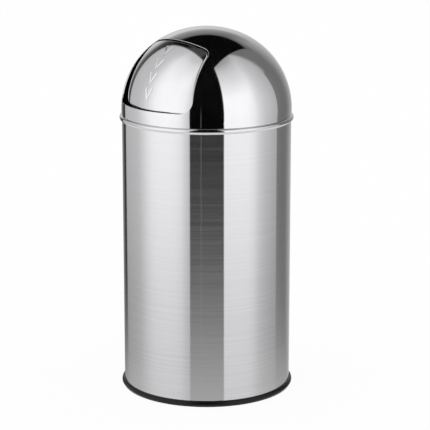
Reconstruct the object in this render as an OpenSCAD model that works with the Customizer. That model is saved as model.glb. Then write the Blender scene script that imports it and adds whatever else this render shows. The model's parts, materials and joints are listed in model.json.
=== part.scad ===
// Dome top waste receptacle: a sheet steel bin with a lift-off dome lid, a sprung push flap
// and a lift-out inner bucket. Origin on the floor on the centre line, +Z up, flap towards -Y.

/* [Body] */
// Outside diameter of the body tube
body_d = 340; // [300:5:400]
// Height of the top of the rim bead above the floor
body_top = 562.1; // [480:1:650]
// Sheet thickness of the body, the lid and the bucket
sheet = 0.8; // [0.6:0.1:1.2]
// How far the rolled rim bead stands proud of the body
bead_proud = 5; // [3:0.5:7]
// Radius of the rolled rim bead
bead_r = 5.5; // [4:0.5:7]

/* [Base] */
// Height of the plastic base ring
base_ring_h = 11.65; // [9:0.05:16]
// How far the base ring stands out from the body
base_ring_proud = 5.5; // [3:0.5:8]
// Width of the flat foot under the base ring
foot_w = 7; // [5:0.5:12]
// Height of the bottom plate above the floor
plate_z = 9; // [7.5:0.5:20]
// Height of the pressed panel in the middle of the bottom plate
plate_panel_h = 2.5; // [1:0.5:5]
// Width of the level margin round that panel
plate_margin = 50; // [20:5:90]

/* [Lid] */
// How far the lid's skirt stands proud of the body
lid_proud = 1; // [0.5:0.5:3]
// Height of the straight skirt under the dome
skirt_h = 10.5; // [6:0.5:30]
// Distance of the shoulder arc's centre from the centre line
shoulder_out = 8.5; // [6:0.5:20]
// How much higher the dome is than its shoulder arc, which blends into a flatter crown
crown_rise = 1.7; // [1.2:0.1:6]
// Depth that the lid's locating collar drops into the body
collar_drop = 22; // [12:1:40]

/* [Flap opening] */
// Direction that the opening faces, in degrees above the horizontal
opening_tilt = 36; // [30:1:42]
// Height of the opening along its middle
opening_h = 157; // [130:1:165]
// Width of the opening at its bottom
opening_w_bottom = 183; // [150:1:190]
// Width of the opening at its top
opening_w_top = 156; // [130:1:165]
// How far the opening's middle lies below the dome's centre, along the opening
opening_drop = 6.5; // [0:0.5:8]
// Radius of the bowed top and bottom edges
edge_bow_r = 410; // [300:10:800]
// Radius of the two upper corners
corner_r_top = 13; // [8:1:25]
// Radius of the two lower corners
corner_r_bottom = 22; // [12:1:35]
// Depth of the edge that is turned in round the opening
lip_depth = 5; // [3:0.5:8]

/* [Flap] */
// Sheet thickness of the flap
flap_t = 1.2; // [0.8:0.1:1.6]
// Depth of the flap's face below the dome's outer face
flap_depth = 6.4; // [6.2:0.1:9]
// How far the flap reaches behind the opening's edge
flap_overlap = 4; // [3:0.5:6]
// Depth of the flap's turned-in edge
flap_hem = 4.5; // [3:0.5:6]

/* [Flap hinge] */
// Distance of the hinge pin in front of the bin's centre line
pin_out = 58; // [54:1:60]
// Height of the hinge pin below the dome's highest point
pin_drop = 49; // [48:0.5:56]
// Radius of the hinge pin
pin_r = 3; // [2:0.25:3.5]
// Distance of each flap lug from the middle
lug_x = 71; // [60:1:72]
// Distance of each lid bracket from the middle
bracket_x = 87; // [86:0.5:90]
// Thickness of the lugs and brackets
plate_t = 2; // [1.5:0.25:2.5]
// Wall of the plastic bearing bushes
bush_wall = 1.5; // [1:0.25:2]
// Wire diameter of the return springs
spring_wire = 1.4; // [1:0.1:1.6]
// Turns of each return spring
spring_turns = 6; // [4:1:6]

/* [Inner bucket] */
// Gap between the bucket's wall and the body
bucket_side_gap = 17.2; // [17:0.1:40]
// Height of the bucket
bucket_h = 512; // [380:1:514]
// Radius of the bucket's wired rim
rim_r = 3; // [2:0.5:4]
// Depth of the bucket's bottom above its lower edge
bucket_foot = 8; // [5:0.5:15]
// How far the bucket's stiffening beads stand proud
swage_proud = 2.5; // [1.5:0.5:3]
// Number of stiffening beads round the bucket
swage_count = 2; // [1:1:4]
// Wire diameter of the bail handle
bail_wire = 5; // [4:0.5:6]
// Height of the bail's pivots below the middle of the wired rim
bail_drop = 16; // [14:1:40]
// Angle that the bail hangs below the level when it lies down
bail_rest = 8; // [4:1:9]

/* [Fits] */
// Gap between pieces that are free to move apart
free_gap = 0.3; // [0.2:0.05:0.4]
// Gap between the lid's collar and the body
collar_gap = 0.5; // [0.3:0.1:1.5]
// Gap left between sheets that are welded or riveted together
joint_gap = 0.1; // [0.05:0.05:0.15]
// Radial clearance of the running fit on the hinge pin
running_gap = 0.05; // [0.02:0.01:0.09]

/* [Hidden] */
$fn = 120;

steel = [0.78, 0.79, 0.80];
polished = [0.86, 0.87, 0.88];
zinc = [0.66, 0.69, 0.71];
black = [0.07, 0.07, 0.08];
nylon = [0.90, 0.89, 0.85];

// Body and base
body_r = body_d / 2;
body_in = body_r - sheet;
bead_c = [body_r + bead_proud - bead_r, body_top - bead_r];
wall_seat_z = 3.2;
foot_h = 3;
ring_lift = 0.15;
plate_slope = 6;

// Dome: a shoulder arc that runs tangent into a crown arc of larger radius
lid_r = body_r + lid_proud;
lid_z = body_top + free_gap;
equator_z = lid_z + skirt_h;
shoulder_r = lid_r - shoulder_out;
dome_h = shoulder_r + crown_rise;
dome_top = equator_z + dome_h;
crown_r = (shoulder_out * shoulder_out + dome_h * dome_h - shoulder_r * shoulder_r)
    / (2 * crown_rise);
crown_z = dome_top - crown_r;
blend_angle = atan2(equator_z - crown_z, shoulder_out);
blend_lap = 4;
far = 2 * lid_r;
collar_weld_h = 9.5;
collar_step = [2, 1];

// Opening: its outline lies in a plane that faces opening_tilt above the horizontal
outline_top = opening_h / 2 - opening_drop;
outline_bottom = -opening_h / 2 - opening_drop;
bow_top = [0, outline_top - edge_bow_r];
bow_bottom = [0, outline_bottom + edge_bow_r];
side_low = [opening_w_bottom / 2, outline_bottom];
side_high = [opening_w_top / 2, outline_top];
side_dir = (side_high - side_low) / norm(side_high - side_low);
side_out = [side_dir.y, -side_dir.x];
side_angle = atan2(side_out.y, side_out.x);
block_from = 20;

// Hinge
pin_z = dome_top - pin_drop;
bush_r = pin_r + bush_wall;
eye_wall = 2.5;
eye_r = bush_r + eye_wall;
bracket_eye_wall = 3.5;
bush_flange = [1.5, 1];
clip_wall = 3;
clip_t = 1.2;
clip_x = bracket_x + plate_t / 2 + free_gap;
pin_tail = 1.5;
pin_end = clip_x + clip_t + pin_tail;
bore_len = 30;
weld_foot_w = 12;
lug_fan = [20, -15];
bracket_fan = [60, 132];
tab_t = 1.2;
tab_w = 5;
leg_tail = 1;
spring_pin_gap = 2.1;
spring_r = pin_r + spring_pin_gap + spring_wire / 2;
spring_side_gap = 0.5;
notch_gap = 1.2;
spring_from = lug_x + plate_t / 2 + spring_side_gap + spring_wire / 2;
spring_to = bracket_x - plate_t / 2 - spring_side_gap - spring_wire / 2;
lug_leg = 15;
lug_leg_angle = 65;
bracket_leg = 11;
bracket_leg_angle = 10;
pad_from = 30;
pad_len = 30;
pad_band = [0.6, 3.5];
pad_below_pin = 60;

// Bucket
bucket_r = body_in - bucket_side_gap;
bucket_in = bucket_r - sheet;
swage_r = 4;
bucket_z = plate_z + sheet + free_gap;
rim_c = [bucket_r + rim_r - sheet / 2, bucket_z + bucket_h - rim_r];
bail_z = rim_c.y - bail_drop;
bail_gap = 0.7;
bail_r = norm([rim_c.x, rim_c.y - bail_z]) + rim_r + bail_gap + bail_wire / 2;
bail_bend = 5;
bail_wall_gap = 1;
bail_end_x = bucket_r + bail_wall_gap;
bail_head = [4, 1.2, 0.4];
ear_t = 1.5;
ear_head_gap = 0.8;
ear_relief = 0.4;
ear_plate_x = bail_end_x + bail_head[1] + bail_head[2] + ear_head_gap;
ear_w = 17;
ear_h = 18;
foot_len = 11;
ear_inset = 5;
rivet_r = 2;
rivet_head = [3.5, 1.2];
shank_lap = 0.5;
rivet_angle = atan2(ear_w / 2 + foot_len / 2, bucket_r);

// Points of an arc, without its last one, so that arcs can follow each other
function arc(c, r, from, to, steps) =
    [for (i = [0 : steps - 1]) c + r * [cos(from + (to - from) * i / steps),
                                        sin(from + (to - from) * i / steps)]];

// Centre of a rounded corner between the straight side and a bowed edge
function corner_centre(bow, r, up) =
    let (q = side_out * (side_low - bow) - r)
    bow + q * side_out + up * sqrt(pow(edge_bow_r - r, 2) - q * q) * side_dir;

function angle_from(bow, c) = atan2(c.y - bow.y, c.x - bow.x);

// Outline of the opening, moved outwards by grow
function opening_outline(grow) =
    let (low = corner_centre(bow_bottom, corner_r_bottom, -1),
         high = corner_centre(bow_top, corner_r_top, 1),
         low_angle = angle_from(bow_bottom, low),
         high_angle = angle_from(bow_top, high),
         right = concat(
             arc(bow_bottom, edge_bow_r + grow, -90, low_angle, 6),
             arc(low, corner_r_bottom + grow, low_angle, side_angle, 9),
             arc(high, corner_r_top + grow, side_angle, high_angle, 8),
             arc(bow_top, edge_bow_r + grow, high_angle, 90, 6)))
    concat(right, [[0, outline_top + grow]],
           [for (i = [len(right) - 1 : -1 : 1]) [-right[i].x, right[i].y]]);

// Half section of the space inside the lid, moved inwards by inset
module dome_section(inset) {
    intersection() {
        union() {
            intersection() {
                translate([0, crown_z]) circle(r = crown_r - inset);
                polygon([[0, crown_z], [0, crown_z] + far * [cos(blend_angle), sin(blend_angle)],
                         [0, crown_z + far]]);
            }
            intersection() {
                translate([shoulder_out, equator_z]) circle(r = shoulder_r - inset);
                polygon([[shoulder_out, equator_z], [shoulder_out + far, equator_z],
                         [shoulder_out, equator_z]
                         + far * [cos(blend_angle + blend_lap), sin(blend_angle + blend_lap)]]);
            }
            polygon([[0, crown_z], [lid_r - inset, crown_z], [lid_r - inset, equator_z],
                     [shoulder_out, equator_z]]);
        }
        translate([0, lid_z]) square([far, far]);
    }
}

// Layer of the dome between two depths below its outer face
module dome_layer(outer, inner) {
    rotate_extrude() difference() {
        dome_section(outer);
        dome_section(inner);
    }
}

// Block with the outline of the opening, from inside the dome to well in front of it
module opening_block(grow) {
    translate([0, 0, equator_z]) rotate([90 - opening_tilt, 0, 0])
        translate([0, 0, block_from]) linear_extrude(lid_r) polygon(opening_outline(grow));
}

// Plate of thickness t at x, drawn in the plane across the hinge: outwards, then up, from the pin
module hinge_plate(x, t) {
    translate([x, -pin_out, pin_z]) rotate([90, 0, -90]) linear_extrude(t, center = true) children();
}

// Sector from the pin between two angles
module fan(angles, reach) {
    polygon([[0, 0], reach * [cos(angles[0]), sin(angles[0])], reach * [cos(angles[1]), sin(angles[1])]]);
}

// Tab from one x to another, just outside a spring leg; way is the side of the coil it leaves to
module leg_tab(from_x, to_x, angle, way, leg) {
    translate([(from_x + to_x) / 2, -pin_out, pin_z]) rotate([90, 0, -90]) rotate([0, 0, angle])
        translate([spring_r + spring_wire / 2 + free_gap + tab_t / 2, way * (leg - tab_w / 2 - leg_tail), 0])
            cube([tab_t, tab_w, abs(to_x - from_x)], center = true);
}

module cross_bore(x, r, len) {
    translate([x, -pin_out, pin_z]) rotate([0, 90, 0]) cylinder(h = len, r = r, center = true);
}

// Body

module body_shell() {
    color(steel) rotate_extrude() {
        translate([body_in, wall_seat_z]) square([sheet, bead_c.y + bead_r - sheet / 2 - wall_seat_z]);
        intersection() {
            translate(bead_c) difference() {
                circle(r = bead_r);
                circle(r = bead_r - sheet);
            }
            translate([body_in, 0]) square([far, far * 2]);
        }
    }
}

module bottom_plate() {
    edge = body_in - joint_gap;
    panel_r = edge - plate_margin;
    color(zinc) rotate_extrude() polygon([
        [0, plate_z + plate_panel_h], [panel_r, plate_z + plate_panel_h], [panel_r + plate_slope, plate_z],
        [edge - sheet, plate_z], [edge - sheet, wall_seat_z], [edge, wall_seat_z],
        [edge, plate_z + sheet], [panel_r + plate_slope, plate_z + sheet],
        [panel_r, plate_z + plate_panel_h + sheet], [0, plate_z + plate_panel_h + sheet]]);
}

module base_ring() {
    ring_r = (base_ring_h - ring_lift) / 2;
    groove = 2 * joint_gap + sheet;
    color(black) rotate_extrude() difference() {
        union() {
            intersection() {
                translate([body_r + base_ring_proud - ring_r, base_ring_h - ring_r]) circle(r = ring_r);
                translate([body_in - joint_gap, 0]) square([far, base_ring_h]);
            }
            translate([body_in - foot_w / 2, 0]) square([foot_w, foot_h]);
        }
        translate([body_in - joint_gap, wall_seat_z - joint_gap]) square([groove, base_ring_h]);
    }
}

// Inner bucket

module rivet_places() {
    for (side = [0, 180], turn = [-rivet_angle, rivet_angle])
        rotate([0, 0, side + turn]) translate([bucket_r, 0, bail_z]) rotate([0, 90, 0]) children();
}

module bucket_wall() {
    step = (bail_z - bucket_z) / (swage_count + 1);
    color(zinc) difference() {
        rotate_extrude() {
            difference() {
                union() {
                    translate([0, bucket_z]) square([bucket_r, rim_c.y - bucket_z]);
                    for (i = [1 : swage_count])
                        translate([bucket_r + swage_proud - swage_r, bucket_z + i * step])
                            circle(r = swage_r);
                }
                translate([0, bucket_z - swage_r]) square([bucket_in, bucket_h + swage_r]);
                for (i = [1 : swage_count])
                    translate([bucket_r + swage_proud - swage_r, bucket_z + i * step])
                        circle(r = swage_r - sheet);
            }
            translate(rim_c) circle(r = rim_r);
        }
        rivet_places() cylinder(h = bore_len, r = rivet_r + joint_gap, center = true);
    }
}

module bucket_bottom() {
    edge = bucket_in - joint_gap;
    color(zinc) rotate_extrude() polygon([
        [0, bucket_z + bucket_foot], [edge - sheet, bucket_z + bucket_foot],
        [edge - sheet, bucket_z + joint_gap], [edge, bucket_z + joint_gap],
        [edge, bucket_z + bucket_foot + sheet], [0, bucket_z + bucket_foot + sheet]]);
}

module bail_ear(side) {
    color(zinc) rotate([0, 0, side > 0 ? 0 : 180]) difference() {
        union() {
            intersection() {
                translate([0, 0, bail_z - ear_h / 2]) difference() {
                    cylinder(h = ear_h, r = bucket_r + joint_gap + ear_t);
                    translate([0, 0, -1]) cylinder(h = ear_h + 2, r = bucket_r + joint_gap);
                }
                translate([bucket_r - ear_inset, -ear_w / 2 - foot_len, bail_z - ear_h])
                    cube([4 * ear_inset, ear_w + 2 * foot_len, 2 * ear_h]);
            }
            translate([ear_plate_x, -ear_w / 2, bail_z - ear_h / 2]) cube([ear_t, ear_w, ear_h]);
            for (y = [-ear_w / 2, ear_w / 2 - ear_t])
                translate([bucket_r + joint_gap, y, bail_z - ear_h / 2])
                    cube([ear_plate_x + ear_t - bucket_r - joint_gap, ear_t, ear_h]);
        }
        translate([0, 0, bail_z]) rotate([0, 90, 0])
            cylinder(h = bail_r, r = bail_wire / 2 + free_gap + joint_gap);
        translate([bucket_r - ear_inset, -ear_w / 2 + ear_t, bail_z - ear_h])
            cube([ear_inset + ear_t + joint_gap + ear_relief, ear_w - 2 * ear_t, 2 * ear_h]);
        for (turn = [-rivet_angle, rivet_angle])
            rotate([0, 0, turn]) translate([bucket_r, 0, bail_z]) rotate([0, 90, 0])
                cylinder(h = bore_len, r = rivet_r + joint_gap, center = true);
    }
}

module ear_rivets() {
    color(steel) rivet_places() {
        translate([0, 0, -sheet - joint_gap - rivet_head[1]]) cylinder(h = rivet_head[1], r = rivet_head[0]);
        translate([0, 0, -sheet - joint_gap - shank_lap])
            cylinder(h = sheet + ear_t + 4 * joint_gap + 2 * shank_lap, r = rivet_r);
        translate([0, 0, ear_t + 3 * joint_gap]) cylinder(h = rivet_head[1], r = rivet_head[0]);
    }
}

// Half of the bail's middle line in its own plane: a headed end pin, a bend and the hoop
function bail_half() =
    let (bend_x = sqrt(pow(bail_r - bail_bend, 2) - bail_bend * bail_bend),
         start = atan2(bail_bend, bend_x))
    concat(
        [[bail_end_x, 0], [bail_end_x + bail_head[1], 0],
         [bail_end_x + bail_head[1] + bail_head[2], 0]],
        arc([bend_x, bail_bend], bail_bend, -90, start, 5),
        arc([0, 0], bail_r, start, 90, 16));

module bail_handle() {
    half = bail_half();
    last = len(half) - 1;
    wire_r = bail_wire / 2;
    path = concat([for (p = half) [p.x, p.y, 0]], [[0, bail_r, 0]],
                  [for (i = [last : -1 : 0]) [-half[i].x, half[i].y, 0]]);
    radii = [for (i = [0 : len(path) - 1]) min(i, len(path) - 1 - i) < 2 ? bail_head[0] : wire_r];
    color(steel) translate([0, 0, bail_z]) rotate([-bail_rest, 0, 0])
        tube(path, radii, 12, [0, 0, 1]);
}

// Lid

module dome_lid() {
    color(polished) difference() {
        union() {
            dome_layer(0, sheet);
            intersection() {
                opening_block(sheet);
                dome_layer(sheet / 2, lip_depth);
            }
        }
        opening_block(0);
    }
}

module lid_collar() {
    weld_r = lid_r - sheet - joint_gap;
    drop_r = body_in - collar_gap;
    top = lid_z + collar_weld_h;
    step_top = lid_z + collar_step[0];
    step_low = body_top - collar_step[1];
    low = body_top - collar_drop;
    color(steel) rotate_extrude() polygon([
        [drop_r, low], [drop_r, step_low], [weld_r, step_top], [weld_r, top],
        [weld_r - sheet, top], [weld_r - sheet, step_top], [drop_r - sheet, step_low],
        [drop_r - sheet, low]]);
}

module hinge_bracket(side) {
    color(steel) mirror([side > 0 ? 0 : 1, 0, 0]) difference() {
        union() {
            intersection() {
                hinge_plate(bracket_x, plate_t) hull() {
                    circle(r = pin_r + bracket_eye_wall);
                    fan(bracket_fan, lid_r);
                }
                rotate_extrude() dome_section(sheet + joint_gap);
            }
            intersection() {
                hinge_plate(bracket_x + weld_foot_w / 2, weld_foot_w + plate_t) fan(bracket_fan, lid_r);
                dome_layer(sheet + joint_gap, sheet + joint_gap + plate_t);
            }
            intersection() {
                leg_tab(bracket_x, spring_to - spring_wire / 2 - free_gap,
                        bracket_leg_angle, 1, bracket_leg);
                rotate_extrude() dome_section(sheet + joint_gap);
            }
        }
        cross_bore(bracket_x, pin_r + running_gap, bore_len);
    }
}

module hinge_pin() {
    color(steel) cross_bore(0, pin_r, 2 * pin_end);
}

module pin_clip(side) {
    color(steel) mirror([side > 0 ? 0 : 1, 0, 0]) difference() {
        cross_bore(clip_x + clip_t / 2, pin_r + clip_wall, clip_t);
        cross_bore(clip_x, pin_r + joint_gap / 2, bore_len);
    }
}

// Flap

module flap_panel() {
    color(polished) difference() {
        intersection() {
            opening_block(flap_overlap);
            dome_layer(flap_depth, flap_depth + flap_hem);
        }
        intersection() {
            opening_block(flap_overlap - flap_t);
            rotate_extrude() dome_section(flap_depth + flap_t);
        }
        for (side = [-1, 1])
            cross_bore(side * (lug_x + bracket_x) / 2, spring_r + spring_wire / 2 + notch_gap,
                       bracket_x - lug_x);
    }
}

module flap_lug(side) {
    seat = flap_depth + flap_t + joint_gap;
    color(steel) mirror([side > 0 ? 0 : 1, 0, 0]) difference() {
        union() {
            intersection() {
                hinge_plate(lug_x, plate_t) hull() {
                    circle(r = eye_r);
                    fan(lug_fan, lid_r);
                }
                rotate_extrude() dome_section(seat);
            }
            intersection() {
                hinge_plate(lug_x - weld_foot_w / 2, weld_foot_w + plate_t) fan(lug_fan, lid_r);
                dome_layer(seat, seat + plate_t);
            }
            intersection() {
                leg_tab(lug_x, spring_from + spring_wire / 2 + free_gap, lug_leg_angle, -1, lug_leg);
                rotate_extrude() dome_section(seat);
            }
        }
        cross_bore(lug_x, bush_r + joint_gap, bore_len);
    }
}

module hinge_bush(side) {
    color(nylon) mirror([side > 0 ? 0 : 1, 0, 0]) difference() {
        union() {
            cross_bore(lug_x, bush_r, plate_t + 2 * joint_gap);
            cross_bore(lug_x - plate_t / 2 - joint_gap - bush_flange[1] / 2, bush_r + bush_flange[0],
                       bush_flange[1]);
        }
        cross_bore(lug_x, pin_r + running_gap, bore_len);
    }
}

module flap_pads() {
    color(black) for (side = [0, 1]) mirror([side, 0, 0]) intersection() {
        difference() {
            opening_block(pad_band[1]);
            opening_block(pad_band[0]);
        }
        dome_layer(lip_depth + free_gap, flap_depth - joint_gap);
        translate([pad_from, -far, 0]) cube([pad_len, far, pin_z - pad_below_pin]);
    }
}

// Torsion spring round the pin: the bracket's leg, the coil and the flap lug's leg, as one tube
function coil_point(x, angle) = [x, spring_r * cos(angle), spring_r * sin(angle)];

function spring_path() =
    let (start = bracket_leg_angle + 360 * spring_turns,
         turn = lug_leg_angle - start,
         steps = 12 * spring_turns,
         start_dir = [0, -sin(start), cos(start)],
         end_dir = [0, sin(lug_leg_angle), -cos(lug_leg_angle)])
    concat(
        [coil_point(spring_to, start) + bracket_leg * start_dir],
        [for (i = [0 : steps])
            coil_point(spring_to + (spring_from - spring_to) * i / steps, start + turn * i / steps)],
        [coil_point(spring_from, lug_leg_angle) + lug_leg * end_dir]);

spring_pitch = (spring_to - spring_from) * 360 / (bracket_leg_angle + 360 * spring_turns - lug_leg_angle);
echo(least_gap_between_spring_turns = spring_pitch - spring_wire);

// Ring of a tube with radius r round point i of a path that winds round an axis
function tube_ring(path, i, r, sides, axis) =
    let (before = path[max(i - 1, 0)],
         after = path[min(i + 1, len(path) - 1)],
         along = (after - before) / norm(after - before),
         flat = cross(along, axis),
         u = flat / norm(flat),
         v = cross(along, u))
    [for (k = [0 : sides - 1]) path[i] + r * (cos(360 * k / sides) * u + sin(360 * k / sides) * v)];

module tube(path, radii, sides, axis) {
    count = len(path);
    points = [for (i = [0 : count - 1]) each tube_ring(path, i, radii[i], sides, axis)];
    walls = [for (i = [0 : count - 2], k = [0 : sides - 1])
        let (a = i * sides + k, b = i * sides + (k + 1) % sides)
        each [[a, b, b + sides], [a, b + sides, a + sides]]];
    start_cap = [for (k = [1 : sides - 2]) [0, k + 1, k]];
    last = (count - 1) * sides;
    end_cap = [for (k = [1 : sides - 2]) [last, last + k, last + k + 1]];
    polyhedron(points, concat(walls, start_cap, end_cap));
}

module return_spring(side) {
    color(steel) mirror([side > 0 ? 0 : 1, 0, 0])
        translate([0, -pin_out, pin_z]) mirror([0, 1, 0])
            tube(spring_path(), [for (p = spring_path()) spring_wire / 2], 6, [1, 0, 0]);
}

body_shell();
bottom_plate();
base_ring();
bucket_wall();
bucket_bottom();
bail_ear(-1);  // bail_ear_left
bail_ear(1);  // bail_ear_right
ear_rivets();
bail_handle();
dome_lid();
lid_collar();
hinge_bracket(-1);  // hinge_bracket_left
hinge_bracket(1);  // hinge_bracket_right
hinge_pin();
pin_clip(-1);  // pin_clip_left
pin_clip(1);  // pin_clip_right
flap_panel();
flap_lug(-1);  // flap_lug_left
flap_lug(1);  // flap_lug_right
hinge_bush(-1);  // hinge_bush_left
hinge_bush(1);  // hinge_bush_right
flap_pads();
return_spring(-1);  // return_spring_left
return_spring(1);  // return_spring_right
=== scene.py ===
"""Looks of the dome top waste receptacle: brushed steel body, polished dome lid and push flap.

Everything is in metres, in the part's own frame: origin on the floor, +Z up, the flap towards -Y.
"""
import json
import math

import bmesh
import bpy
from mathutils import Matrix, Vector

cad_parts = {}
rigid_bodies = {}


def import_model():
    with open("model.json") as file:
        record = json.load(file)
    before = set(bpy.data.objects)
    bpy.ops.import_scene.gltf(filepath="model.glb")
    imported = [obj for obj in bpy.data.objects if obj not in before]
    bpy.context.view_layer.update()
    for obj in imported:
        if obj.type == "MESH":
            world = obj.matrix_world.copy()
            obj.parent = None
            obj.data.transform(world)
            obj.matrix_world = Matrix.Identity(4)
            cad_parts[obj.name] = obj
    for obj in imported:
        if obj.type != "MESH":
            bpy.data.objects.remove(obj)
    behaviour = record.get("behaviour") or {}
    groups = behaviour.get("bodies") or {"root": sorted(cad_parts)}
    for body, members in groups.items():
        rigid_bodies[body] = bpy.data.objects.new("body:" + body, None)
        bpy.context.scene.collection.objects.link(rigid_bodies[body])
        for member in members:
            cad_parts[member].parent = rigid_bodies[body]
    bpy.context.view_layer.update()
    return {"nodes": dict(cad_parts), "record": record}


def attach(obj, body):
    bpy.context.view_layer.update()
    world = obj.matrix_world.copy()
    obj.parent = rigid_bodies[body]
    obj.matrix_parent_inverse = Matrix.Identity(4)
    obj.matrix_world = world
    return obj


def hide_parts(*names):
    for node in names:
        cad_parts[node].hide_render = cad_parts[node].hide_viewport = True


# ---------------------------------------------------------------------------------------------
# Camera, first of all
# ---------------------------------------------------------------------------------------------

for left_over in list(bpy.data.objects):
    bpy.data.objects.remove(left_over)

CAMERA_AT = Vector((2.74452, -2.41110, 1.23441))
CAMERA_LOOK = Vector((-0.72729, 0.64489, -0.23486))
CAMERA_AZIMUTH = 48.7  # degrees to the right of the flap's middle
SENSOR_WIDTH = 36  # mm
LENS = 154.49  # mm
camera_data = bpy.data.cameras.new("camera")
camera_data.sensor_width = SENSOR_WIDTH
camera_data.lens = LENS
camera = bpy.data.objects.new("camera", camera_data)
camera.location = CAMERA_AT
camera.rotation_euler = CAMERA_LOOK.to_track_quat("-Z", "Y").to_euler()
bpy.context.scene.collection.objects.link(camera)
bpy.context.scene.camera = camera

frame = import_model()

# ---------------------------------------------------------------------------------------------
# Sizes: the hinge and the dome as in the part's source, the opening and the flap as photographed
# ---------------------------------------------------------------------------------------------

MM = 0.001
SHEET = 0.8 * MM
JOINT_GAP = 0.1 * MM

# Dome: straight skirt, round shoulder and flatter crown
LID_R = 171 * MM
LID_Z = 562.4 * MM
EQUATOR_Z = 572.9 * MM
SHOULDER_OUT = 8.5 * MM
SHOULDER_R = LID_R - SHOULDER_OUT
CROWN_RISE = 1.7 * MM
DOME_H = SHOULDER_R + CROWN_RISE
CROWN_R = (SHOULDER_OUT ** 2 + DOME_H ** 2 - SHOULDER_R ** 2) / (2 * CROWN_RISE)
CROWN_DROP = CROWN_R - DOME_H
BLEND_ANGLE = math.atan2(CROWN_DROP, SHOULDER_OUT)
DOME_RINGS = 84
FOOT_ROUND = 0.3 * MM

# Body tube and its rim bead
BODY_R = 170 * MM
BODY_FOOT = 3.2 * MM
BEAD_R = 5.5 * MM
BEAD_C = (169.5 * MM, 556.6 * MM)
BEAD_LOW = BEAD_C[1] - math.sqrt(BEAD_R ** 2 - (BODY_R - BEAD_C[0]) ** 2)
TUBE_STEPS = 360

# Opening: bowed edges above and below, straight sides, four round corners, edge turned in
TILT = math.radians(33)
OPENING_H = 157 * MM
HALF_LOW = 111 * MM
HALF_HIGH = 86.5 * MM
BOW_TOP = 930 * MM
BOW_LOW = 290 * MM
CORNER_TOP = 22 * MM
CORNER_LOW = 29 * MM
LIP_DEPTH = 2.6 * MM
LIP_ROUND = 1.0 * MM
CUT_ROUND = 0.25 * MM
ARC_STEPS = 24

# Flap: set in by FLAP_DEPTH, leaning in at its foot, its own edge turned in by FLAP_HEM
FLAP_T = 1.2 * MM
FLAP_DEPTH = 1.1 * MM
FLAP_LEAN = math.radians(5.5)
FLAP_GAP = 3 * MM
FLAP_HEM = 3.5 * MM
FLAP_ROUND = 1.6 * MM

# Column of four plain chevrons pressed into the flap
MARK_PLACES = (47.4 * MM, 16.6 * MM, -13.8 * MM, -44.9 * MM)
MARK_X = 1.5 * MM
MARK_HALF_W = 8 * MM
MARK_RISE = 20 * MM
MARK_W = 5.4 * MM
MARK_DEPTH = 0.6 * MM

# Stop tabs on the flap's lower edge, and the rubber pads on them
STOP_FROM = 30 * MM
STOP_LEN = 30 * MM
STOP_REACH = 5.5 * MM
STOP_BACK = 0.4 * MM
STOP_STEPS = 12
PAD_BAND = (-1 * MM, 4.5 * MM)
PAD_GAP = 0.3 * MM

# Hinge pin, lugs, and the tabs that the return springs bear on, with (out, up) from the pin
PIN = Vector((0, -58 * MM, EQUATOR_Z + DOME_H - 49 * MM))
LUG_X = 71 * MM
LUG_T = 2 * MM
LUG_EYE = 7 * MM
LUG_HOLE = 4.6 * MM
LUG_FAN = (-15, 20)
LUG_FOOT_W = 12 * MM
TAB_FACE = ((12.2 * MM, 4.4 * MM), (14.3 * MM, -0.1 * MM))
TAB_END_X = 74.2 * MM
TAB_T = 1.2 * MM
TAB_THROUGH = (0.42, 0.91)

# The opening's own directions: across, up along its face, and out of it
ACROSS = Vector((1, 0, 0))
UPWARD = Vector((0, math.sin(TILT), math.cos(TILT)))
OUTWARD = Vector((0, -math.cos(TILT), math.sin(TILT)))
CENTRE = Vector((0, 0, EQUATOR_Z))


# ---------------------------------------------------------------------------------------------
# Geometry of the dome and of the opening in it
# ---------------------------------------------------------------------------------------------

def arc(centre, radius, start, end, steps):
    """Points of an arc without its last one."""
    out = []
    for i in range(steps):
        a = start + (end - start) * i / steps
        out.append((centre[0] + radius * math.cos(a), centre[1] + radius * math.sin(a)))
    return out


def opening_outline(grow):
    """The opening's outline in its own plane, moved outwards by grow, counter-clockwise."""
    top = OPENING_H / 2
    bottom = -OPENING_H / 2
    low = Vector((HALF_LOW, bottom))
    side = (Vector((HALF_HIGH, top)) - low).normalized()
    out = Vector((side.y, -side.x))
    bow_top = Vector((0, top - BOW_TOP))
    bow_low = Vector((0, bottom + BOW_LOW))

    def corner(bow, bow_radius, radius, way):
        """Centre of the round corner between a bowed edge and the straight side."""
        q = out.dot(low - bow) - radius
        return bow + q * out + way * math.sqrt((bow_radius - radius) ** 2 - q * q) * side

    c_low = corner(bow_low, BOW_LOW, CORNER_LOW, -1)
    c_top = corner(bow_top, BOW_TOP, CORNER_TOP, 1)
    a_low = math.atan2(c_low.y - bow_low.y, c_low.x)
    a_top = math.atan2(c_top.y - bow_top.y, c_top.x)
    a_side = math.atan2(out.y, out.x)
    half = (arc(bow_low, BOW_LOW + grow, -math.pi / 2, a_low, ARC_STEPS)
            + arc(c_low, CORNER_LOW + grow, a_low, a_side, ARC_STEPS)
            + arc(c_top, CORNER_TOP + grow, a_side, a_top, ARC_STEPS)
            + arc(bow_top, BOW_TOP + grow, a_top, math.pi / 2, ARC_STEPS))
    return half + [(0, top + grow)] + [(-x, y) for x, y in reversed(half[1:])]


def lower_edge(x):
    """Height of the opening's lower edge in its own plane."""
    return -OPENING_H / 2 + BOW_LOW - math.sqrt(BOW_LOW ** 2 - x * x)


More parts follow.
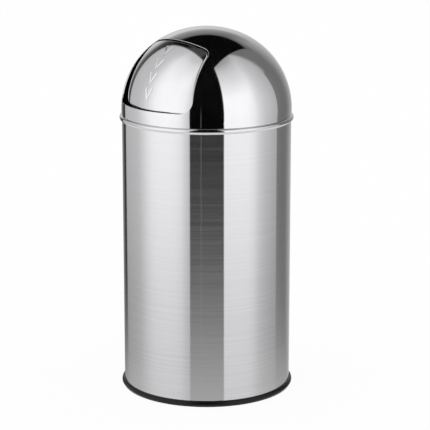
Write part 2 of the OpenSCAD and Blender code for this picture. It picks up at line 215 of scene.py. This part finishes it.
def polar_outline(grow, angles):
    """Distance from the middle to the outline in each direction."""
    points = opening_outline(grow)
    turn = [math.atan2(y, x) for x, y in points]
    out = []
    for a in angles:
        for i, (x0, y0) in enumerate(points):
            after = (i + 1) % len(points)
            t0 = (turn[i] - a + math.pi) % (2 * math.pi) - math.pi
            t1 = (turn[after] - a + math.pi) % (2 * math.pi) - math.pi
            if t0 <= 1e-9 and t1 >= -1e-9 and 0 < t1 - t0 < 2:
                dx, dy = points[after][0] - x0, points[after][1] - y0
                out.append((x0 * dy - y0 * dx) / (math.cos(a) * dy - math.sin(a) * dx))
                break
    return out


def outline_angles(side_steps):
    """Directions of the outline's own points, with its straight sides divided up."""
    turn = [math.atan2(y, x) for x, y in opening_outline(0)]
    out = []
    for i, a in enumerate(turn):
        gap = (turn[(i + 1) % len(turn)] - a) % (2 * math.pi)
        steps = side_steps if gap > 0.5 else 1
        out += [a + gap * k / steps for k in range(steps)]
    return out


def dome_distance(way, inset):
    """How far the dome's face, moved in by inset, lies from CENTRE along a unit vector."""
    level = math.hypot(way.x, way.y)
    rise = way.z
    if rise <= 0:
        return (LID_R - inset) / max(level, 1e-9)
    radius = SHOULDER_R - inset
    along = SHOULDER_OUT * level
    far = along + math.sqrt(radius ** 2 - SHOULDER_OUT ** 2 + along ** 2)
    if math.atan2(far * rise, far * level - SHOULDER_OUT) > BLEND_ANGLE:
        radius = CROWN_R - inset
        along = -CROWN_DROP * rise
        far = along + math.sqrt(radius ** 2 - CROWN_DROP ** 2 + along ** 2)
    return far


def on_dome(way, inset):
    """Point of the dome's face, moved in by inset, along a unit vector from CENTRE."""
    return CENTRE + way * dome_distance(way, inset)


# From the leaning flap's place back to the opening's
UNLEAN = Matrix.Rotation(-FLAP_LEAN, 3, "X")


def above_plane(x, y, inset, leaned=False):
    """Point of the dome's face, moved in by inset, that lies straight out from (x, y).

    With leaned, the face is turned in about the hinge pin, as the resting flap is.
    """
    start = CENTRE + ACROSS * x + UPWARD * y
    base, ray = start - CENTRE, OUTWARD
    if leaned:
        base = PIN + UNLEAN @ (start - PIN) - CENTRE
        ray = UNLEAN @ OUTWARD
    reach = math.sqrt(max(LID_R ** 2 - base.length_squared, 0))
    # Each round closes in on the face
    for _ in range(12):
        spot = base + ray * reach
        size = spot.length
        miss = dome_distance(spot / size, inset) - size
        reach += miss * size / spot.dot(ray)
    return start + OUTWARD * reach


def build(name, points, faces, material, smooth_angle=35):
    """Mesh object, smooth except at edges sharper than smooth_angle degrees."""
    mesh = bpy.data.meshes.new(name)
    mesh.from_pydata([tuple(p) for p in points], [], faces)
    mesh.validate()
    mesh.shade_smooth()
    mesh.set_sharp_from_angle(angle=math.radians(smooth_angle))
    mesh.materials.append(material)
    thing = bpy.data.objects.new(name, mesh)
    bpy.context.scene.collection.objects.link(thing)
    return thing


def outward_faces(thing):
    """Turns every face of a closed mesh outwards."""
    loose = bmesh.new()
    loose.from_mesh(thing.data)
    bmesh.ops.recalc_face_normals(loose, faces=loose.faces[:])
    loose.to_mesh(thing.data)
    loose.free()


def ring_faces(rings, count, closed=True):
    """Quads between rings of count points each; the last ring joins the first when closed."""
    faces = []
    for r in range(rings if closed else rings - 1):
        here, there = r * count, ((r + 1) % rings) * count
        for k in range(count):
            n = (k + 1) % count
            faces.append((here + k, there + k, there + n, here + n))
    return faces


# ---------------------------------------------------------------------------------------------
# Materials
# ---------------------------------------------------------------------------------------------

class Nodes:
    """Shorthand for a node tree: a value given to a socket may be a number or a socket."""

    def __init__(self, tree):
        self.tree = tree
        tree.nodes.clear()

    def add(self, kind, inputs=None, **settings):
        node = self.tree.nodes.new(kind)
        for key, value in settings.items():
            setattr(node, key, value)
        for key, value in (inputs or {}).items():
            self.set(node.inputs[key], value)
        return node

    def set(self, socket, value):
        if isinstance(value, bpy.types.NodeSocket):
            self.tree.links.new(value, socket)
        else:
            socket.default_value = value

    def math(self, operation, a, b=0.0, c=0.0):
        return self.add("ShaderNodeMath", {0: a, 1: b, 2: c}, operation=operation).outputs[0]

    def ramp(self, value, low, high, to_low=0.0, to_high=1.0, smooth=True):
        """to_low up to low, to_high from high on, and a smooth or straight rise between."""
        node = self.add("ShaderNodeMapRange",
                        {"Value": value, "From Min": low, "From Max": high,
                         "To Min": to_low, "To Max": to_high},
                        interpolation_type="SMOOTHSTEP" if smooth else "LINEAR")
        return node.outputs["Result"]

    def noise(self, vector, scale, detail, roughness):
        node = self.add("ShaderNodeTexNoise", {"Vector": vector, "Scale": scale, "Detail": detail,
                                               "Roughness": roughness})
        return node.outputs["Fac"]

    def stretched(self, scale):
        """The piece's own coordinates, scaled along each axis."""
        where = self.add("ShaderNodeTexCoord").outputs["Object"]
        node = self.add("ShaderNodeMapping", {"Vector": where, "Scale": scale})
        return node.outputs["Vector"]


def material(name):
    made = bpy.data.materials.new(name)
    made.use_nodes = True
    return made, Nodes(made.node_tree)


def finish_material(nodes, settings, height, bump, distance):
    """Principled shader with the given sockets and a bump from height."""
    shader = nodes.add("ShaderNodeBsdfPrincipled", settings)
    relief = nodes.add("ShaderNodeBump", {"Height": height, "Strength": bump,
                                          "Distance": distance})
    nodes.set(shader.inputs["Normal"], relief.outputs["Normal"])
    out = nodes.add("ShaderNodeOutputMaterial")
    nodes.set(out.inputs["Surface"], shader.outputs["BSDF"])
    return shader


def mix_colour(nodes, factor, first, second):
    node = nodes.add("ShaderNodeMix", {"Factor": factor}, data_type="RGBA")
    nodes.set(node.inputs[6], (*first, 1))
    nodes.set(node.inputs[7], (*second, 1))
    return node.outputs[2]


def polished_steel(name, roughness, grain):
    made, n = material(name)
    smudge = n.noise(n.stretched((1, 1, 1)), 22, 4, 0.55)
    speck = n.noise(n.stretched((1, 1, 1)), 900, 2, 0.5)
    finish_material(n, {
        "Base Color": mix_colour(n, n.ramp(smudge, 0.3, 0.7),
                                 (0.90, 0.90, 0.92), (0.94, 0.94, 0.96)),
        "Metallic": 1.0,
        "Roughness": n.ramp(smudge, 0.35, 0.75, roughness, roughness * 1.7),
    }, speck, grain, 0.0002)
    return made


def brushed_steel(name):
    """Sheet brushed round the body, so it blurs up and down only, below a polished rim bead."""
    made, n = material(name)
    fine = n.noise(n.stretched((9, 9, 2600)), 1, 3, 0.6)
    broad = n.noise(n.stretched((4, 4, 420)), 1, 2, 0.5)
    both = n.math("MULTIPLY_ADD", fine, 0.65, n.math("MULTIPLY", broad, 0.35))
    tangent = n.add("ShaderNodeTangent", direction_type="RADIAL", axis="Z")
    height = n.add("ShaderNodeSeparateXYZ", {0: n.add("ShaderNodeTexCoord").outputs["Object"]})
    bead = n.ramp(height.outputs["Z"], BEAD_LOW - 0.3 * MM, BEAD_LOW + 0.1 * MM)
    brushed_rough = n.ramp(broad, 0.3, 0.7, 0.095, 0.11)
    bead_rough = 0.07
    rough = n.math("ADD", n.math("MULTIPLY", brushed_rough, n.math("SUBTRACT", 1.0, bead)),
                   n.math("MULTIPLY", bead, bead_rough))
    shader = finish_material(n, {
        "Base Color": mix_colour(n, n.ramp(both, 0.3, 0.7),
                                 (0.88, 0.88, 0.90), (0.94, 0.94, 0.955)),
        "Metallic": 1.0,
        "Roughness": rough,
        "Anisotropic": n.math("SUBTRACT", 1.0, bead),
        "Anisotropic Rotation": 0.25,
    }, fine, 0.007, 0.0002)
    n.set(shader.inputs["Tangent"], tangent.outputs["Tangent"])
    return made


def zinc_plated(name):
    made, n = material(name)
    cloud = n.noise(n.stretched((1, 1, 1)), 60, 4, 0.6)
    grain = n.noise(n.stretched((1, 1, 1)), 1400, 2, 0.5)
    finish_material(n, {
        "Base Color": mix_colour(n, cloud, (0.56, 0.57, 0.58), (0.70, 0.71, 0.72)),
        "Metallic": 1.0,
        "Roughness": n.ramp(cloud, 0.3, 0.7, 0.26, 0.38),
    }, grain, 0.08, 0.0002)
    return made


def galvanised(name):
    """Hot dipped sheet: flat crystals a few millimetres across, each with its own sheen."""
    made, n = material(name)
    crystals = n.add("ShaderNodeTexVoronoi", {"Vector": n.stretched((1, 1, 1)), "Scale": 110.0,
                                              "Randomness": 1.0}, feature="F1")
    tone = n.add("ShaderNodeSeparateColor", {"Color": crystals.outputs["Color"]}).outputs[0]
    finish_material(n, {
        "Base Color": mix_colour(n, tone, (0.52, 0.55, 0.57), (0.70, 0.73, 0.75)),
        "Metallic": 1.0,
        "Roughness": n.ramp(tone, 0, 1, 0.30, 0.48),
    }, tone, 0.05, 0.0003)
    return made


def moulded(name, low, high, roughness, sheen=0.5):
    """Plastic or rubber with a fine grain, between two colours."""
    made, n = material(name)
    grain = n.noise(n.stretched((1, 1, 1)), 1500, 3, 0.6)
    cloud = n.noise(n.stretched((1, 1, 1)), 35, 3, 0.5)
    finish_material(n, {
        "Base Color": mix_colour(n, cloud, low, high),
        "Roughness": n.ramp(cloud, 0.3, 0.7, roughness, roughness + 0.08),
        "Specular IOR Level": sheen,
    }, grain, 0.12, 0.0003)
    return made


MATERIALS = {
    "brushed_steel": brushed_steel("brushed_steel_looks"),
    "polished_steel": polished_steel("polished_steel_looks", 0.035, 0.0),
    "satin_steel": polished_steel("satin_steel_looks", 0.06, 0.02),
    "plain_steel": zinc_plated("plain_steel_looks"),
    "galvanised": galvanised("galvanised_looks"),
    "black_plastic": moulded("black_plastic_looks", (0.004, 0.004, 0.005), (0.007, 0.007, 0.008),
                             0.22, sheen=0.3),
    "rubber": moulded("rubber_looks", (0.02, 0.02, 0.02), (0.035, 0.035, 0.035), 0.75),
    "nylon": moulded("nylon_looks", (0.80, 0.79, 0.73), (0.87, 0.86, 0.80), 0.42),
}
SLOT_OF = {row["node"]: row["material_slot"] for row in frame["record"]["subparts"]}
for node_name, node_object in frame["nodes"].items():
    for slot in node_object.material_slots:
        slot.material = MATERIALS[SLOT_OF[node_name]]


# ---------------------------------------------------------------------------------------------
# Body tube with its rim bead, turned in fine steps
# ---------------------------------------------------------------------------------------------

def make_tube():
    """Closed profile of (radius, height) points turned round the bin's middle line."""
    bead_top = BEAD_C[1] + BEAD_R
    bead_start = math.atan2(BEAD_LOW - BEAD_C[1], BODY_R - BEAD_C[0])
    profile = [(BODY_R - SHEET, BODY_FOOT), (BODY_R, BODY_FOOT), (BODY_R, BEAD_LOW)]
    profile += arc(BEAD_C, BEAD_R, bead_start, math.pi / 2, ARC_STEPS)[1:]
    profile += [(BEAD_C[0], bead_top), (BODY_R - SHEET, bead_top - 0.2 * MM)]
    turns = [2 * math.pi * k / TUBE_STEPS for k in range(TUBE_STEPS)]
    points = [Vector((r * math.sin(a), -r * math.cos(a), z)) for r, z in profile for a in turns]
    return build("body_tube", points, ring_faces(len(profile), TUBE_STEPS),
                 MATERIALS["brushed_steel"])


body_tube = make_tube()
outward_faces(body_tube)
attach(body_tube, "body")
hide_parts("body_shell")


# ---------------------------------------------------------------------------------------------
# Dome with its turned-in edge
# ---------------------------------------------------------------------------------------------

def make_dome():
    """Closed shell: outer skin, skirt, foot, inner skin and the opening's edge, in one ring."""
    angles = outline_angles(40)
    count = len(angles)
    # Across the edge: how far outside the opening's outline, and how deep
    edge = [(LIP_ROUND * (1 - math.sin(a)), LIP_ROUND * (1 - math.cos(a)))
            for a in [math.radians(9 * i) for i in range(11)]]
    edge += [(0.0, LIP_ROUND + (LIP_DEPTH - CUT_ROUND - LIP_ROUND) * i / 4) for i in range(1, 5)]
    edge += [(0.1 * MM, LIP_DEPTH - 0.06 * MM), (CUT_ROUND, LIP_DEPTH),
             (SHEET - CUT_ROUND, LIP_DEPTH), (SHEET, LIP_DEPTH - CUT_ROUND)]
    edge += [(SHEET, LIP_DEPTH - CUT_ROUND - (LIP_DEPTH - CUT_ROUND - SHEET) * i / 3)
             for i in range(1, 4)]
    edge_points = []
    for grow, depth in edge:
        far = polar_outline(grow, angles)
        edge_points.append([above_plane(f * math.cos(a), f * math.sin(a), depth)
                            for f, a in zip(far, angles)])

    def skin(start_ring, inset):
        """Rings out to the equator, along great circles from the opening's middle."""
        rings = [[] for _ in range(DOME_RINGS)]
        for k, a in enumerate(angles):
            side = ACROSS * math.cos(a) + UPWARD * math.sin(a)
            spot = (start_ring[k] - CENTRE).normalized()
            start = math.acos(max(-1, min(1, spot.dot(OUTWARD))))
            # Where cos(t) * OUTWARD.z + sin(t) * side.z is 0
            end = math.atan2(OUTWARD.z, -side.z)
            for j in range(DOME_RINGS):
                s = (j + 1) / DOME_RINGS
                # Closer steps near the opening
                t = start + (end - start) * (0.45 * s + 0.55 * s * s)
                way = OUTWARD * math.cos(t) + side * math.sin(t)
                if j == DOME_RINGS - 1:
                    way = Vector((way.x, way.y, 0)).normalized()
                rings[j].append(on_dome(way, inset))
        return rings

    outer = skin(edge_points[0], 0.0)
    inner = skin(edge_points[-1], SHEET)
    foot = []
    for z, inset in ((LID_Z + FOOT_ROUND, 0.0), (LID_Z, FOOT_ROUND), (LID_Z, SHEET - 0.2 * MM),
                     (LID_Z + 0.2 * MM, SHEET)):
        foot.append([])
        for p in outer[-1]:
            way = Vector((p.x, p.y, 0)).normalized() * (LID_R - inset)
            foot[-1].append(Vector((way.x, way.y, z)))
    skirt = [[Vector((p.x, p.y, EQUATOR_Z + (LID_Z + FOOT_ROUND - EQUATOR_Z) * i / 4))
              for p in outer[-1]] for i in range(1, 4)]
    rings = outer + skirt + foot + inner[::-1] + edge_points[::-1]
    points = [p for ring in rings for p in ring]
    return build("dome_shell", points, ring_faces(len(rings), count), MATERIALS["polished_steel"])


dome = make_dome()
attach(dome, "lid")
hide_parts("dome_lid")


# ---------------------------------------------------------------------------------------------
# Flap with its turned-in edge
# ---------------------------------------------------------------------------------------------

def mark_depth(x, y):
    """How deep the column of chevrons is pressed into the flap's face at (x, y)."""
    nearest = MARK_W / 2
    if abs(x - MARK_X) < MARK_HALF_W + MARK_W:
        spot = Vector((abs(x - MARK_X), y))
        arm = Vector((MARK_HALF_W, MARK_RISE))
        for place in MARK_PLACES:
            foot = Vector((0, place - MARK_RISE / 2))
            along = max(0.0, min(1.0, (spot - foot).dot(arm) / arm.length_squared))
            nearest = min(nearest, (spot - foot - arm * along).length)
    return MARK_DEPTH * (0.5 + 0.5 * math.cos(2 * math.pi * nearest / MARK_W))


def make_flap():
    """Pressed skin with its turned-in edge, and two stop tabs below."""
    # Close steps in the middle, where the marks are, and wide ones out to the edge
    scales = [0.8 * i / 104 for i in range(1, 105)] + [0.8 + 0.2 * i / 8 for i in range(1, 9)]
    angles = outline_angles(30)
    angles += [math.radians(middle + 0.5 * i) for middle in (90, 270) for i in range(-76, 77)]
    angles = sorted(set(round(a % (2 * math.pi), 6) for a in angles))
    # Without the ones that come closer to the next than 0.001; the last has no next
    angles = [a for a, b in zip(angles, angles[1:] + [9.0]) if b - a > 0.001]
    count = len(angles)
    back_depth = FLAP_DEPTH + FLAP_T
    hem_depth = FLAP_DEPTH + FLAP_HEM

    def rings_at(grow, depth, scales, marked=False):
        """Rings that repeat the opening's outline, moved outwards by grow, at each scale."""
        far = polar_outline(grow, angles)
        rings = []
        for s in scales:
            rings.append([])
            for f, a in zip(far, angles):
                x, y = s * f * math.cos(a), s * f * math.sin(a)
                pressed = mark_depth(x, y) if marked else 0
                rings[-1].append(above_plane(x, y, depth + pressed, True))
        return rings

    rings = rings_at(-FLAP_GAP - FLAP_ROUND, FLAP_DEPTH, scales, True)
    for a in [math.radians(10 * i) for i in range(1, 10)]:
        rings += rings_at(-FLAP_GAP - FLAP_ROUND * (1 - math.sin(a)),
                          FLAP_DEPTH + FLAP_ROUND * (1 - math.cos(a)), [1])
    rings += rings_at(-FLAP_GAP, hem_depth, [1])
    rings += rings_at(-FLAP_GAP - FLAP_T, hem_depth, [1])
    rings += rings_at(-FLAP_GAP - FLAP_T, back_depth, [1, 0.8, 0.6, 0.4, 0.2])
    points = [p for ring in rings for p in ring]
    faces = ring_faces(len(rings), count, closed=False)
    front_middle = len(points)
    points.append(above_plane(0, 0, FLAP_DEPTH, True))
    back_middle = len(points)
    points.append(above_plane(0, 0, back_depth, True))
    last = (len(rings) - 1) * count
    for k in range(count):
        n = (k + 1) % count
        faces.append((front_middle, k, n))
        faces.append((back_middle, last + n, last + k))

    # Stop tabs: strips that run on from the turned-in edge behind the opening's lower edge
    for way in (1, -1):
        first = len(points)
        low = hem_depth - STOP_BACK
        high = low - FLAP_T
        root = -FLAP_GAP - FLAP_T / 2
        section = [(root, high), (STOP_REACH / 2, high), (STOP_REACH, high),
                   (STOP_REACH, low), (STOP_REACH / 2, low), (root, low)]
        for i in range(STOP_STEPS + 1):
            x = way * (STOP_FROM + STOP_LEN * i / STOP_STEPS)
            for grow, depth in section:
                points.append(above_plane(x, lower_edge(x) - grow, depth, True))
        size = len(section)
        for i in range(STOP_STEPS):
            for k in range(size):
                n = (k + 1) % size
                a, b = first + i * size, first + (i + 1) * size
                faces.append((a + k, b + k, b + n, a + n))
        for i in (0, STOP_STEPS):
            faces.append(tuple(first + i * size + k for k in range(size)))
    return build("flap_skin", points, faces, MATERIALS["satin_steel"])


flap = make_flap()
outward_faces(flap)
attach(flap, "flap")
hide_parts("flap_panel")


# ---------------------------------------------------------------------------------------------
# Lugs and stop pads on the flap's back
# ---------------------------------------------------------------------------------------------

def to_flap(x, turn, depth):
    """Distance from the pin's middle line to the flap's face, moved in by depth, at an angle."""
    # The stretch that holds the face is halved again and again
    low, high = 0.0, 0.2
    for _ in range(30):
        reach = (low + high) / 2
        offset = Vector((x, -math.cos(turn) * reach, math.sin(turn) * reach))
        spot = PIN + UNLEAN @ offset - CENTRE
        if spot.length < dome_distance(spot.normalized(), depth):
            low = reach
        else:
            high = reach
    return low


def from_pin(x, turn, reach):
    """Point at a distance from the pin's middle line; turn 0 is forwards, and more is up."""
    return PIN + Vector((x, -math.cos(turn) * reach, math.sin(turn) * reach))


def slab(points, faces, first, rows, columns):
    """Closed block between two grids of rows by columns points, one just after the other."""
    half_size = rows * columns
    for i in range(rows - 1):
        for k in range(columns - 1):
            a = first + i * columns + k
            b = a + half_size
            faces.append((a, a + 1, a + columns + 1, a + columns))
            faces.append((b, b + columns, b + columns + 1, b + 1))
    border = (list(range(columns - 1))
              + [i * columns + columns - 1 for i in range(rows - 1)]
              + [(rows - 1) * columns + k for k in range(columns - 1, 0, -1)]
              + [i * columns for i in range(rows - 1, 0, -1)])
    for i, a in enumerate(border):
        b = border[(i + 1) % len(border)]
        faces.append((first + a, first + a + half_size, first + b + half_size, first + b))


def make_lug(side):
    """Plate with an eye round the pin and a fan out to the flap, a foot and a spring tab."""
    name = "lug_right" if side > 0 else "lug_left"
    seat = FLAP_DEPTH + FLAP_T + JOINT_GAP
    turns = sorted(set(list(range(-180, 180, 6)) + list(range(LUG_FAN[0], LUG_FAN[1] + 1, 5))))
    fan = [math.radians(a) for a in LUG_FAN]

    def edge_reach(turn, x):
        """The plate's outline: the flap across the fan, then straight edges down to the eye."""
        if fan[0] <= turn <= fan[1]:
            return to_flap(x, turn, seat)
        near = fan[0] if turn < fan[0] else fan[1]
        tangent = math.acos(LUG_EYE / to_flap(x, near, seat))
        off = abs(turn - near)
        return LUG_EYE / math.cos(tangent - off) if off < tangent else LUG_EYE

    rings = []
    for x, outer in ((LUG_X - LUG_T / 2, True), (LUG_X + LUG_T / 2, True),
                     (LUG_X + LUG_T / 2, False), (LUG_X - LUG_T / 2, False)):
        rings.append([from_pin(side * x, math.radians(a),
                               edge_reach(math.radians(a), x) if outer else LUG_HOLE)
                      for a in turns])
    points = [p for ring in rings for p in ring]
    faces = ring_faces(len(rings), len(turns))

    # Welded foot along the flap
    first = len(points)
    rows, columns = 8, 4
    for depth in (seat, seat + LUG_T):
        for i in range(rows):
            turn = fan[0] + (fan[1] - fan[0]) * i / (rows - 1)
            for k in range(columns):
                x = LUG_X - LUG_T / 2 - LUG_FOOT_W + (LUG_FOOT_W + LUG_T / 2) * k / (columns - 1)
                points.append(from_pin(side * x, turn, to_flap(x, turn, depth)))
    slab(points, faces, first, rows, columns)

    # Tab that the return spring's leg bears on
    first = len(points)
    for out, up in TAB_FACE:
        for x in (LUG_X, TAB_END_X):
            for step in (0.0, TAB_T):
                points.append(PIN + Vector((side * x, -out - step * TAB_THROUGH[0],
                                            up + step * TAB_THROUGH[1])))
    slab(points, faces, first, 2, 2)
    return build(name, points, faces, MATERIALS["plain_steel"], 30)


def make_pads():
    """Rubber strips between the stop tabs and the opening's turned-in edge."""
    points, faces = [], []
    tab_face = FLAP_DEPTH + FLAP_HEM - STOP_BACK - FLAP_T - JOINT_GAP
    rows, columns = STOP_STEPS + 1, 4
    for way in (1, -1):
        first = len(points)
        for depth, leaned in ((LIP_DEPTH + PAD_GAP, False), (tab_face, True)):
            for i in range(rows):
                x = way * (STOP_FROM + STOP_LEN * i / (rows - 1))
                for k in range(columns):
                    grow = PAD_BAND[0] + (PAD_BAND[1] - PAD_BAND[0]) * k / (columns - 1)
                    points.append(above_plane(x, lower_edge(x) - grow, depth, leaned))
        slab(points, faces, first, rows, columns)
    return build("stop_pads", points, faces, MATERIALS["rubber"], 30)


for side, replaced in ((-1, "flap_lug_left"), (1, "flap_lug_right")):
    lug = make_lug(side)
    outward_faces(lug)
    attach(lug, "flap")
    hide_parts(replaced)

pads = make_pads()
outward_faces(pads)
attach(pads, "flap")
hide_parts("flap_pads")


# ---------------------------------------------------------------------------------------------
# Floor, world and light
# ---------------------------------------------------------------------------------------------

FLOOR_HALF = 6.0
FLOOR_Z = -0.3 * MM
FLOOR_GLOW = 0.93  # share of plain white in what the camera sees of it

floor_mesh = bpy.data.meshes.new("floor")
floor_mesh.from_pydata([(-FLOOR_HALF, -FLOOR_HALF, 0), (FLOOR_HALF, -FLOOR_HALF, 0),
                        (FLOOR_HALF, FLOOR_HALF, 0), (-FLOOR_HALF, FLOOR_HALF, 0)],
                       [], [(0, 1, 2, 3)])
floor = bpy.data.objects.new("floor", floor_mesh)
floor.location.z = FLOOR_Z
bpy.context.scene.collection.objects.link(floor)
floor.visible_glossy = False

floor_look, n = material("floor_looks")
floor_mesh.materials.append(floor_look)
diffuse = n.add("ShaderNodeBsdfDiffuse", {"Color": (0.93, 0.93, 0.93, 1)})
glow = n.add("ShaderNodeEmission", {"Color": (1, 1, 1, 1), "Strength": 1.0})
seen = n.add("ShaderNodeLightPath").outputs["Is Camera Ray"]
mixed = n.add("ShaderNodeMixShader", {0: n.math("MULTIPLY", seen, FLOOR_GLOW),
                                      1: diffuse.outputs[0], 2: glow.outputs[0]})
out = n.add("ShaderNodeOutputMaterial")
n.set(out.inputs["Surface"], mixed.outputs[0])


# Levels of the room that the steel mirrors
BAND_LEVEL = 0.15  # strip between the right box and the back wall
CEILING_LEVEL = 0.05
LINE_LEVEL = 0.07
CREASE = 0.16  # how softly one fall of light passes into another
GAIN = 1.06
DARKEST = 0.002


def direction(azimuth, elevation):
    """Unit vector; azimuth is measured from the photograph's view, to the right."""
    a = math.radians(azimuth + CAMERA_AZIMUTH)
    e = math.radians(elevation)
    return (math.sin(a) * math.cos(e), -math.cos(a) * math.cos(e), math.sin(e))


def make_world():
    """Two tall soft boxes with a dark gap between them, a back wall and a pale floor.

    Only mirrored rays see them. The camera sees plain white, and the rest even light.
    """
    world = bpy.data.worlds.new("studio")
    bpy.context.scene.world = world
    world.use_nodes = True
    n = Nodes(world.node_tree)
    way = n.add("ShaderNodeTexCoord").outputs["Generated"]

    def dot_of(azimuth, elevation):
        return n.add("ShaderNodeVectorMath", {0: way, 1: direction(azimuth, elevation)},
                     operation="DOT_PRODUCT").outputs["Value"]

    def side(azimuth, elevation, soft=0.012, offset=0.0):
        """1 on the side of a plane through the middle that faces the given direction."""
        return n.ramp(dot_of(azimuth, elevation), offset - soft, offset + soft)

    def curve(value, stops):
        """Level at a value, on straight lines through (degrees, level) stops."""
        low, high = stops[0][0], stops[-1][0]
        node = n.add("ShaderNodeValToRGB", {"Fac": n.ramp(value, low, high, smooth=False)})
        ramp = node.color_ramp
        ramp.interpolation = "LINEAR"
        while len(ramp.elements) > 1:
            ramp.elements.remove(ramp.elements[0])
        ramp.elements[0].position = 0
        for at, level in stops[1:]:
            ramp.elements.new((at - low) / (high - low))
        for element, (at, level) in zip(ramp.elements, stops):
            element.color = (level, level, level, 1)
        return node.outputs["Color"]

    def least(first, second):
        """The lower of two levels, without a crease where they cross."""
        return n.math("SMOOTH_MIN", first, second, CREASE)

    def every(*masks):
        total = masks[0]
        for m in masks[1:]:
            total = n.math("MULTIPLY", total, m)
        return total

    # Azimuth from the view, to the right, in degrees from 0 to 360, and elevation
    height = n.add("ShaderNodeSeparateXYZ", {0: way}).outputs["Z"]
    turn = n.math("DEGREES", n.math("ARCTAN2", dot_of(90, 0), dot_of(0, 0)))
    turn = n.math("MODULO", n.math("ADD", turn, 360.0), 360.0)
    rise = n.math("DEGREES", n.math("ARCSINE", height))

    # Right soft box: its top edge slopes down towards the back, its far end is soft higher up
    right_across = curve(turn, [(20, 0.95), (45, 0.98), (58, 0.96), (67, 0.86), (76, 0.68),
                                (86, 0.56), (98, 0.48), (112, 0.40)])
    right_up = curve(rise, [(10, 0.99), (22, 0.98), (30, 0.86), (42, 0.74), (55, 0.60), (62, 0.50),
                            (70, 0.32)])
    low_fade = curve(rise, [(-24, 0.50), (-19, 0.54), (-16.5, 0.64), (-14.5, 0.81), (-11, 0.98),
                            (0, 1.0), (10, 1.0)])
    right_end = n.math("MAXIMUM", side(20.5, 0, 0.015),
                       n.math("MULTIPLY", n.ramp(turn, 126, 106), n.ramp(rise, 20, 32)))
    right_top = side(66.6, -16.5)
    right = every(side(113.2, 0), right_end, right_top, low_fade,
                  least(right_across, right_up))

    # Left soft box: paler towards the gap, and ending in a dark seam at the back
    left_across = curve(turn, [(218, 0.44), (230, 0.48), (245, 0.51), (255, 0.56), (264, 0.68),
                               (272, 0.80), (280, 0.90), (290, 0.96), (305, 0.98), (315, 0.95),
                               (325, 0.86), (333, 0.66), (340, 0.50)])
    left_up = curve(rise, [(24, 0.99), (34, 0.94), (48, 0.82), (62, 0.70), (69, 0.56), (76, 0.52)])
    left = every(side(-112.7, 0), side(-53, 0, 0.015), side(-65, -13.5, 0.02), low_fade,
                 least(left_across, left_up))

    # Back wall from the right box round to the left one, dark high up and low on the left
    wall_across = curve(turn, [(108, 0.18), (125, 0.145), (136, 0.155), (146, 0.24), (156, 0.34),
                               (166, 0.46), (176, 0.56), (186, 0.61), (196, 0.60), (201, 0.42),
                               (205, 0.28), (208, 0.10), (216, 0.06)])
    wall_near = curve(rise, [(24, 1.0), (34, 0.82), (41, 0.52), (45, 0.0)])
    wall_far = curve(rise, [(17, 1.0), (21, 0.93), (25, 0.58), (31, 0.40), (41, 0.24),
                            (44.5, 0.0)])
    far_share = n.ramp(turn, 150, 168)
    wall_up = n.math("ADD", n.math("MULTIPLY", wall_near, n.math("SUBTRACT", 1.0, far_share)),
                     n.math("MULTIPLY", wall_far, far_share))
    band = n.math("MULTIPLY", every(n.ramp(turn, 148, 140), right_top), BAND_LEVEL)
    wall = n.math("MAXIMUM", n.math("MULTIPLY", wall_across, wall_up), band)
    wall_low = n.math("MAXIMUM", n.ramp(rise, -9, 5, 0.4, 1.0), n.ramp(turn, 190, 172))
    wall = every(wall, wall_low, n.ramp(turn, 108, 110), n.ramp(turn, 217, 216))

    # Faint ceiling above the left box, and a thin light line low down in the dark gap, where
    # two planes' soft edges overlap
    ceiling = every(n.ramp(rise, 60, 72), n.ramp(turn, 212, 226), n.ramp(turn, 318, 296))
    ceiling = n.math("MULTIPLY", ceiling, CEILING_LEVEL)
    line = every(side(82.5, 0, 0.004, -0.010), side(-97.5, 0, 0.004, -0.010))
    line = n.math("MULTIPLY", every(line, n.ramp(rise, 18, -8)), LINE_LEVEL)

    # Pale floor
    floor_light = curve(rise, [(-40, 0.66), (-23, 0.62), (-19.8, 0.49), (-18, 0.24), (-16.5, 0.09),
                               (-15, 0.015), (-13.5, 0.0)])

    total = right
    for level in (left, wall, floor_light, ceiling, line):
        total = n.math("MAXIMUM", total, level)
    total = n.math("MULTIPLY_ADD", total, GAIN, DARKEST)

    glossy = n.add("ShaderNodeBackground", {"Strength": total, "Color": (1, 1, 1, 1)})
    plain = n.add("ShaderNodeBackground", {"Strength": n.ramp(height, -1, 1, 0.8, 1.0),
                                           "Color": (1, 1, 1, 1)})
    white = n.add("ShaderNodeBackground", {"Strength": 1.0, "Color": (1, 1, 1, 1)})
    path = n.add("ShaderNodeLightPath")
    first = n.add("ShaderNodeMixShader", {0: path.outputs["Is Glossy Ray"], 1: plain.outputs[0],
                                          2: glossy.outputs[0]})
    second = n.add("ShaderNodeMixShader", {0: path.outputs["Is Camera Ray"], 1: first.outputs[0],
                                           2: white.outputs[0]})
    out = n.add("ShaderNodeOutputWorld")
    n.set(out.inputs["Surface"], second.outputs[0])


make_world()
bpy.context.scene.view_settings.view_transform = "Standard"
